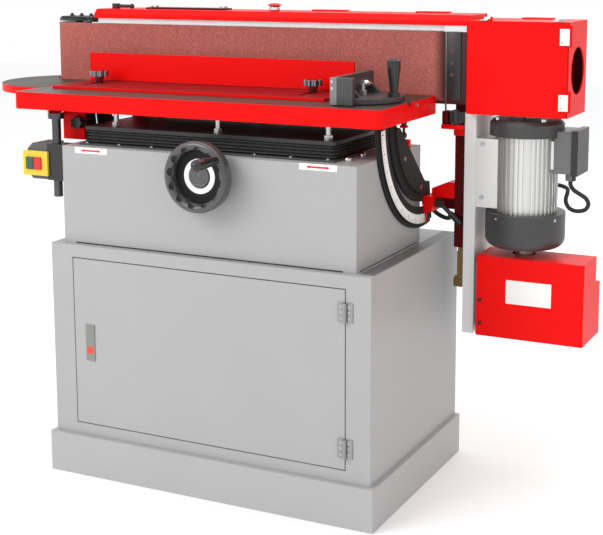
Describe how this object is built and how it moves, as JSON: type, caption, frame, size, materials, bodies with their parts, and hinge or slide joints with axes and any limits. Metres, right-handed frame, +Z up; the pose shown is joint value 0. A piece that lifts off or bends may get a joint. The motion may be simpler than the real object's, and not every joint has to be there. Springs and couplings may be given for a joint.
{
  "type": "edge sander",
  "caption": "Oscillating belt edge sander on a steel cabinet, with a crank-raised table, tilting motor-driven belt head, fence, mitre gauge, round end table and dust hood",
  "frame": {"origin": "centre of the plinth's underside, on the floor", "axes": "+X to the operator's right along the belt, +Y to the rear, +Z up"},
  "size_m": [1.437, 0.6355, 1.0403],
  "materials": {
    "grey_paint": "satin light grey powder coat",
    "red_paint": "gloss red paint",
    "dark_red_paint": "satin dark red paint",
    "black_paint": "satin black paint",
    "black_casting": "black painted casting",
    "raw_casting": "dark cast surface",
    "ground_iron": "polished ground iron",
    "bright_steel": "bright zinc plate",
    "ground_steel": "ground steel",
    "chrome_knob": "polished chrome",
    "bronze": "plain bronze",
    "motor_alloy": "matte cast aluminium",
    "abrasive_cloth": "reddish brown abrasive cloth",
    "rubber": "matte black rubber",
    "cable_jacket": "matte black cable jacket",
    "black_plastic": "gloss black plastic",
    "grey_plastic": "dark grey plastic",
    "yellow_plastic": "yellow front plate",
    "green_plastic": "green button",
    "red_plastic": "red button",
    "orange_plastic": "orange latch button",
    "white_strip": "white scale strip"
  },
  "bodies": {
    "base": {"plinth": "grey_paint", "cabinet": "grey_paint", "lift_housing": "grey_paint", "trunnions": "black_casting", "tilt_scale": "white_strip", "housing_bolts": "bright_steel", "door_hinges": "bright_steel", "bevel_gearbox": "raw_casting", "guide_bushes": "bronze", "bellows": "rubber", "post_clamp": "black_paint", "switch_box": "grey_plastic", "switch_plate": "yellow_plastic", "tilt_cable": "cable_jacket"},
    "door": {"door_panel": "grey_paint", "door_leaves": "bright_steel", "latch_case": "grey_plastic"},
    "latch": {"latch_button": "orange_plastic"},
    "start": {"start_button": "green_plastic"},
    "stop": {"stop_button": "red_plastic"},
    "wheel": {"handwheel": "black_casting"},
    "grip": {"wheel_grip": "black_plastic"},
    "screw": {"lift_screw": "bright_steel"},
    "table": {"lift_carriage": "ground_steel", "support_beam": "black_paint", "jack_bolts": "bright_steel", "table_rim": "red_paint", "table_plate": "ground_iron"},
    "clamp_knob": {"post_knob": "black_plastic"},
    "fence": {"fence": "red_paint"},
    "fence_knob_left": {"fence_knob_left": "chrome_knob"},
    "fence_knob_right": {"fence_knob_right": "chrome_knob"},
    "mitre_slide": {"mitre_bar": "ground_steel"},
    "mitre": {"mitre_head": "black_casting"},
    "mitre_lock": {"mitre_grip": "black_plastic"},
    "end_table": {"end_table": "red_paint", "end_post": "ground_steel"},
    "tilt_frame": {"column": "dark_red_paint", "left_arm": "dark_red_paint", "clamp_blocks": "red_paint", "clevis_link": "bronze"},
    "tilt_lever": {"tilt_lever": "black_plastic"},
    "head": {"platen": "ground_steel", "belt": "abrasive_cloth", "belt_cover": "red_paint", "hood": "red_paint", "channel": "grey_paint", "motor_body": "motor_alloy", "motor_covers": "black_paint", "terminal_box": "grey_plastic", "gear_case": "raw_casting", "gear_guard": "red_paint", "motor_cable": "cable_jacket"},
    "carriage": {"idler_carriage": "black_paint"},
    "idler": {"idler_drum": "motor_alloy"},
    "tension": {"tension_lever": "black_paint"},
    "rotor": {"drive_rotor": "ground_steel"},
    "hood_door": {"hood_door": "red_paint"},
    "hood_latch": {"hood_latch": "bright_steel"},
    "cover_knob": {"cover_knob": "chrome_knob"}
  },
  "joints": [
    {"name": "door_hinge", "type": "hinge", "parent": "base", "child": "door", "pos_m": [0.3315, -0.2483, 0.308], "axis": [0, 0, 1], "range_deg": [0, 110]},
    {"name": "latch_press", "type": "slide", "parent": "door", "child": "latch", "axis": [0, 1, 0], "range_m": [0, 0.003], "stiffness_N_per_m": 400},
    {"name": "start_press", "type": "slide", "parent": "base", "child": "start", "axis": [0, 1, 0], "range_m": [0, 0.003], "stiffness_N_per_m": 400},
    {"name": "stop_press", "type": "slide", "parent": "base", "child": "stop", "axis": [0, 1, 0], "range_m": [0, 0.003], "stiffness_N_per_m": 400},
    {"name": "wheel_turn", "type": "hinge", "parent": "base", "child": "wheel", "pos_m": [0.008, -0.26, 0.706], "axis": [0, 1, 0], "range_deg": [0, 5040]},
    {"name": "grip_spin", "type": "hinge", "parent": "wheel", "child": "grip", "pos_m": [0.06071, -0.32, 0.74572], "axis": [0, 1, 0], "continuous": true},
    {"name": "screw_turn", "type": "hinge", "parent": "base", "child": "screw", "pos_m": [0.008, -0.07, 0.6], "axis": [0, 0, 1], "range_deg": [0, 5041]},
    {"name": "table_lift", "type": "slide", "parent": "base", "child": "table", "axis": [0, 0, 1], "range_m": [0, 0.0701], "deforming": ["bellows"]},
    {"name": "clamp_knob_turn", "type": "hinge", "parent": "table", "child": "clamp_knob", "pos_m": [-0.361, -0.166, 0.788], "axis": [0, 1, 0], "range_deg": [0, 180]},
    {"name": "fence_slide", "type": "slide", "parent": "table", "child": "fence", "axis": [0, 1, 0], "range_m": [-0.023, 0.054]},
    {"name": "fence_knob_left_turn", "type": "hinge", "parent": "table", "child": "fence_knob_left", "pos_m": [-0.422, 0.005, 0.88], "axis": [0, 0, 1], "range_deg": [0, 180]},
    {"name": "fence_knob_right_turn", "type": "hinge", "parent": "table", "child": "fence_knob_right", "pos_m": [0.139, 0.005, 0.88], "axis": [0, 0, 1], "range_deg": [0, 180]},
    {"name": "mitre_travel", "type": "slide", "parent": "table", "child": "mitre_slide", "axis": [1, 0, 0], "range_m": [0, 0.06]},
    {"name": "mitre_swing", "type": "hinge", "parent": "mitre_slide", "child": "mitre", "pos_m": [0.28, -0.045, 0.86], "axis": [0, 0, 1], "range_deg": [-20, 20]},
    {"name": "mitre_lock_turn", "type": "hinge", "parent": "mitre_slide", "child": "mitre_lock", "pos_m": [0.35, -0.045, 0.9], "axis": [0, 0, 1], "range_deg": [0, 180]},
    {"name": "end_table_height", "type": "slide", "parent": "base", "child": "end_table", "axis": [0, 0, 1], "range_m": [-0.05, 0]},
    {"name": "head_tilt", "type": "hinge", "parent": "base", "child": "tilt_frame", "pos_m": [0, 0.118, 0.82], "axis": [-1, 0, 0], "range_deg": [0, 90], "deforming": ["tilt_cable"]},
    {"name": "tilt_lever_turn", "type": "hinge", "parent": "tilt_frame", "child": "tilt_lever", "pos_m": [0.387, 0.134, 0.6146], "axis": [1, 0, 0], "range_deg": [-35, 0]},
    {"name": "oscillate", "type": "slide", "parent": "tilt_frame", "child": "head", "axis": [0, 0, 1], "range_m": [-0.003, 0.003]},
    {"name": "carriage_slide", "type": "slide", "parent": "head", "child": "carriage", "axis": [1, 0, 0], "range_m": [0, 0.015]},
    {"name": "idler_spin", "type": "hinge", "parent": "carriage", "child": "idler", "pos_m": [-0.592, 0.168, 0.918], "axis": [0, 0, 1], "continuous": true},
    {"name": "tension_turn", "type": "hinge", "parent": "head", "child": "tension", "pos_m": [-0.468, 0.15, 1.034], "axis": [0, 0, 1], "range_deg": [0, 120.5]},
    {"name": "rotor_spin", "type": "hinge", "parent": "head", "child": "rotor", "pos_m": [0.572, 0.168, 0.918], "axis": [0, 0, 1], "continuous": true},
    {"name": "hood_door_hinge", "type": "hinge", "parent": "head", "child": "hood_door", "pos_m": [0.681, 0.092, 0.92], "axis": [0, 0, 1], "range_deg": [0, 110]},
    {"name": "hood_latch_flip", "type": "hinge", "parent": "head", "child": "hood_latch", "pos_m": [0.497, 0.112, 1.022], "axis": [1, 0, 0], "range_deg": [-100, 0]},
    {"name": "cover_knob_turn", "type": "hinge", "parent": "head", "child": "cover_knob", "pos_m": [-0.029, 0.15, 1.034], "axis": [0, 0, 1], "range_deg": [0, 180]}
  ],
  "couplings": [
    {"joint": "screw_turn", "follows": "wheel_turn", "ratio": 1},
    {"joint": "table_lift", "follows": "wheel_turn", "m_per_rad": 0.00079577},
    {"joint": "tension_turn", "follows": "carriage_slide", "rad_per_m": 139.63},
    {"joint": "idler_spin", "follows": "rotor_spin", "ratio": 1}
  ]
}
